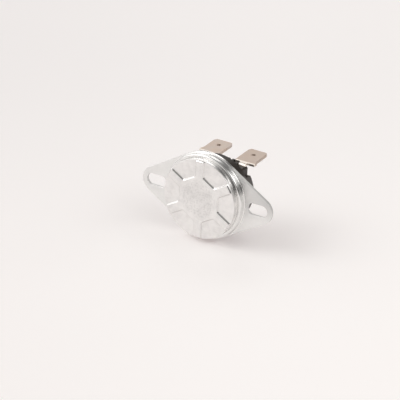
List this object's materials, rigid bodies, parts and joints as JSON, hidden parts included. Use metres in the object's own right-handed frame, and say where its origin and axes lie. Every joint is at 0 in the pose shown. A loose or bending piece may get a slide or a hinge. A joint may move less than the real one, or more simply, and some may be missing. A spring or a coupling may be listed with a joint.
{
  "type": "flanged snap-disc safety thermostat",
  "caption": "Bimetal safety thermostat with a drawn aluminium cap, pressed star face, slotted mounting ears, phenolic body, reset plunger and bent tab terminals.",
  "frame": {"origin": "centre of the sensing face", "axes": "+Y runs from the sensing face to the terminals, X along the two ears, +Z from the centre towards the side on which the tabs stand"},
  "size_m": [0.0444, 0.0225, 0.0266],
  "materials": {
    "cap_aluminium": "bright drawn sheet, lightly brushed face",
    "flange_aluminium": "satin pressed sheet, turned collar",
    "dark_phenolic": "moulded, slightly granular",
    "bimetal": "rolled strip",
    "brown_phenolic": "moulded",
    "ceramic": "fired ceramic",
    "spring_copper": "rolled spring strip",
    "silver": "bright contact metal",
    "strip_brass": "stamped strip",
    "button_plastic": "moulded",
    "plated_brass": "tin-plated, satin",
    "rivet_metal": "plated, burnished heads"
  },
  "bodies": {
    "housing": {"cap": "cap_aluminium", "flange": "flange_aluminium", "body": "dark_phenolic", "bimetal_disc": "bimetal", "disc_holder": "brown_phenolic", "fixed_contact": "silver", "fixed_strip": "strip_brass", "arm_spacer": "strip_brass", "terminal_left": "plated_brass", "terminal_right": "plated_brass", "arm_rivet": "rivet_metal", "strip_rivet": "rivet_metal"},
    "contact": {"contact_arm": "spring_copper", "moving_contact": "silver"},
    "pin": {"transfer_pin": "ceramic"},
    "reset": {"reset_button": "button_plastic"}
  },
  "joints": [
    {"name": "contact_open", "type": "hinge", "parent": "housing", "child": "contact", "pos_m": [-0.006, 0.00825, 0], "axis": [0, 0, 1], "range_deg": [0, 5.73], "stiffness_Nm_per_rad": 0.02, "springref_deg": -2.86},
    {"name": "pin_slide", "type": "slide", "parent": "housing", "child": "pin", "axis": [0, 1, 0], "range_m": [0, 0.0006]},
    {"name": "reset_lift", "type": "slide", "parent": "housing", "child": "reset", "axis": [0, 1, 0], "range_m": [0, 0.0006]}
  ],
  "couplings": [
    {"joint": "contact_open", "follows": "pin_slide", "rad_per_m": 166.67},
    {"joint": "reset_lift", "follows": "pin_slide", "ratio": 1}
  ]
}
